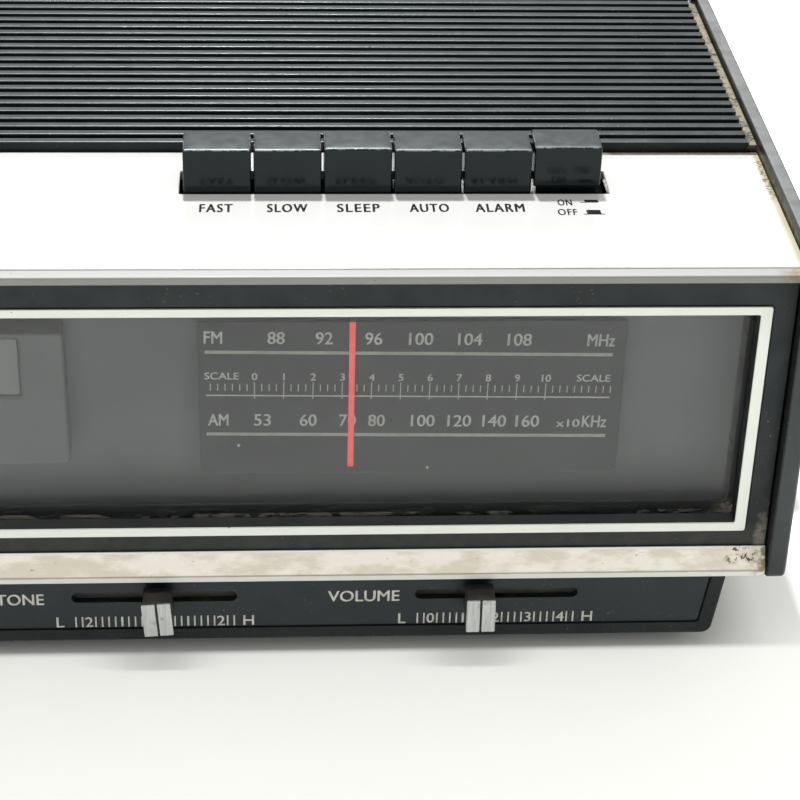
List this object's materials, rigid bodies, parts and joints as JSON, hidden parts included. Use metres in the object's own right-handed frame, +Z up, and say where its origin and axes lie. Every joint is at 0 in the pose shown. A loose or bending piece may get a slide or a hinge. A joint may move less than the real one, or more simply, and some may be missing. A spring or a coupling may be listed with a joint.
{
  "type": "clock radio",
  "caption": "Low mains clock radio: smoked window with clock display and tuning dial, piano keys and louvres on top, slide controls along the foot.",
  "frame": {"origin": "middle of the base of the whole object's box, on the surface that the feet rest on", "axes": "+X to the right of someone facing the window, +Y to the back, +Z up"},
  "size_m": [0.2976, 0.1596, 0.112],
  "materials": {
    "black_plastic": "fine grained satin black",
    "key_plastic": "smooth satin black",
    "white_paint": "glossy white",
    "trim_aluminium": "satin, slightly yellowed",
    "light_line": "pale satin line",
    "smoked_acrylic": "smoked, polished",
    "dial_black": "matt black with cream print",
    "pointer_red": "bright red",
    "steel": "plated",
    "silver_cap": "fine brushed",
    "circuit_board": "brown board",
    "switch_plastic": "natural grey beige",
    "cone_paper": "pressed black paper",
    "ferrite": "dull grey black",
    "copper_wire": "enamelled copper windings",
    "core_steel": "varnished laminations",
    "rubber": "matt black",
    "lamp_glass": "clear"
  },
  "bodies": {
    "case": {"left_cheek": "black_plastic", "right_cheek": "black_plastic", "louvre_grille": "black_plastic", "front_bezel": "black_plastic", "rear_cover": "black_plastic", "bottom_shell": "black_plastic", "base_plate": "black_plastic", "top_panel": "white_paint", "upper_trim": "trim_aluminium", "lower_trim": "trim_aluminium", "frame_inlay": "light_line", "window_lens": "smoked_acrylic", "display_filter": "smoked_acrylic", "dial_plate": "dial_black", "dial_chassis": "dial_black", "display_housing": "dial_black", "rear_screw_left": "steel", "rear_screw_right": "steel", "pointer_rail": "steel", "tuning_bracket": "steel", "speaker_frame": "steel", "main_board": "circuit_board", "clock_board": "circuit_board", "control_board": "circuit_board", "switch_bank": "switch_plastic", "band_control": "switch_plastic", "tone_control": "switch_plastic", "volume_control": "switch_plastic", "tuning_capacitor": "switch_plastic", "speaker_cone": "cone_paper", "speaker_magnet": "ferrite", "ferrite_rod": "ferrite", "transformer_coil": "copper_wire", "antenna_coil": "copper_wire", "transformer_core": "core_steel", "foot_front_left": "rubber", "foot_front_right": "rubber", "foot_rear_left": "rubber", "foot_rear_right": "rubber", "cord_gland": "rubber", "dial_lamp": "lamp_glass"},
    "fast_key": {"key_fast": "key_plastic"},
    "slow_key": {"key_slow": "key_plastic"},
    "sleep_key": {"key_sleep": "key_plastic"},
    "auto_key": {"key_auto": "key_plastic"},
    "alarm_key": {"key_alarm": "key_plastic"},
    "power_key": {"key_power": "key_plastic"},
    "band_slider": {"band_knob": "key_plastic", "band_knob_cap": "silver_cap"},
    "tone_slider": {"tone_knob": "key_plastic", "tone_knob_cap": "silver_cap"},
    "volume_slider": {"volume_knob": "key_plastic", "volume_knob_cap": "silver_cap"},
    "tuning_spindle": {"tuning_knob": "key_plastic", "tuning_shaft": "steel"},
    "cord_drum": {"dial_drum": "switch_plastic"},
    "left_idler": {"left_pulley": "switch_plastic"},
    "right_idler": {"right_pulley": "switch_plastic"},
    "pointer": {"pointer_needle": "pointer_red", "pointer_carriage": "pointer_red"}
  },
  "joints": [
    {"name": "fast_key_press", "type": "slide", "parent": "case", "child": "fast_key", "axis": [0, 0, -1], "range_m": [0, 0.003], "stiffness_N_per_m": 300, "springref_m": -0.002},
    {"name": "slow_key_press", "type": "slide", "parent": "case", "child": "slow_key", "axis": [0, 0, -1], "range_m": [0, 0.003], "stiffness_N_per_m": 300, "springref_m": -0.002},
    {"name": "sleep_key_press", "type": "slide", "parent": "case", "child": "sleep_key", "axis": [0, 0, -1], "range_m": [0, 0.003], "stiffness_N_per_m": 300, "springref_m": -0.002},
    {"name": "auto_key_press", "type": "slide", "parent": "case", "child": "auto_key", "axis": [0, 0, -1], "range_m": [0, 0.003]},
    {"name": "alarm_key_press", "type": "slide", "parent": "case", "child": "alarm_key", "axis": [0, 0, -1], "range_m": [0, 0.003]},
    {"name": "power_key_press", "type": "slide", "parent": "case", "child": "power_key", "axis": [0, 0, -1], "range_m": [0, 0.0036]},
    {"name": "band_slide", "type": "slide", "parent": "case", "child": "band_slider", "axis": [1, 0, 0], "range_m": [0, 0.012]},
    {"name": "tone_slide", "type": "slide", "parent": "case", "child": "tone_slider", "axis": [1, 0, 0], "range_m": [-0.016, 0.014]},
    {"name": "volume_slide", "type": "slide", "parent": "case", "child": "volume_slider", "axis": [1, 0, 0], "range_m": [-0.0106, 0.0193]},
    {"name": "tuning_turn", "type": "hinge", "parent": "case", "child": "tuning_spindle", "pos_m": [0.1372, 0.02525, 0.062], "axis": [1, 0, 0], "range_deg": [-440, 850]},
    {"name": "drum_turn", "type": "hinge", "parent": "case", "child": "cord_drum", "pos_m": [0.1072, -0.00275, 0.062], "axis": [1, 0, 0], "range_deg": [-64, 123]},
    {"name": "left_pulley_turn", "type": "hinge", "parent": "case", "child": "left_idler", "pos_m": [-0.0128, -0.06155, 0.0895], "axis": [0, 1, 0], "range_deg": [-332, 640]},
    {"name": "right_pulley_turn", "type": "hinge", "parent": "case", "child": "right_idler", "pos_m": [0.1172, -0.06155, 0.0895], "axis": [0, 1, 0], "range_deg": [-332, 640]},
    {"name": "pointer_slide", "type": "slide", "parent": "case", "child": "pointer", "axis": [1, 0, 0], "range_m": [-0.0235, 0.045]}
  ],
  "couplings": [
    {"joint": "pointer_slide", "follows": "tuning_turn", "m_per_rad": 0.003},
    {"joint": "drum_turn", "follows": "tuning_turn", "ratio": 0.14286},
    {"joint": "left_pulley_turn", "follows": "tuning_turn", "ratio": 0.75},
    {"joint": "right_pulley_turn", "follows": "tuning_turn", "ratio": 0.75}
  ]
}
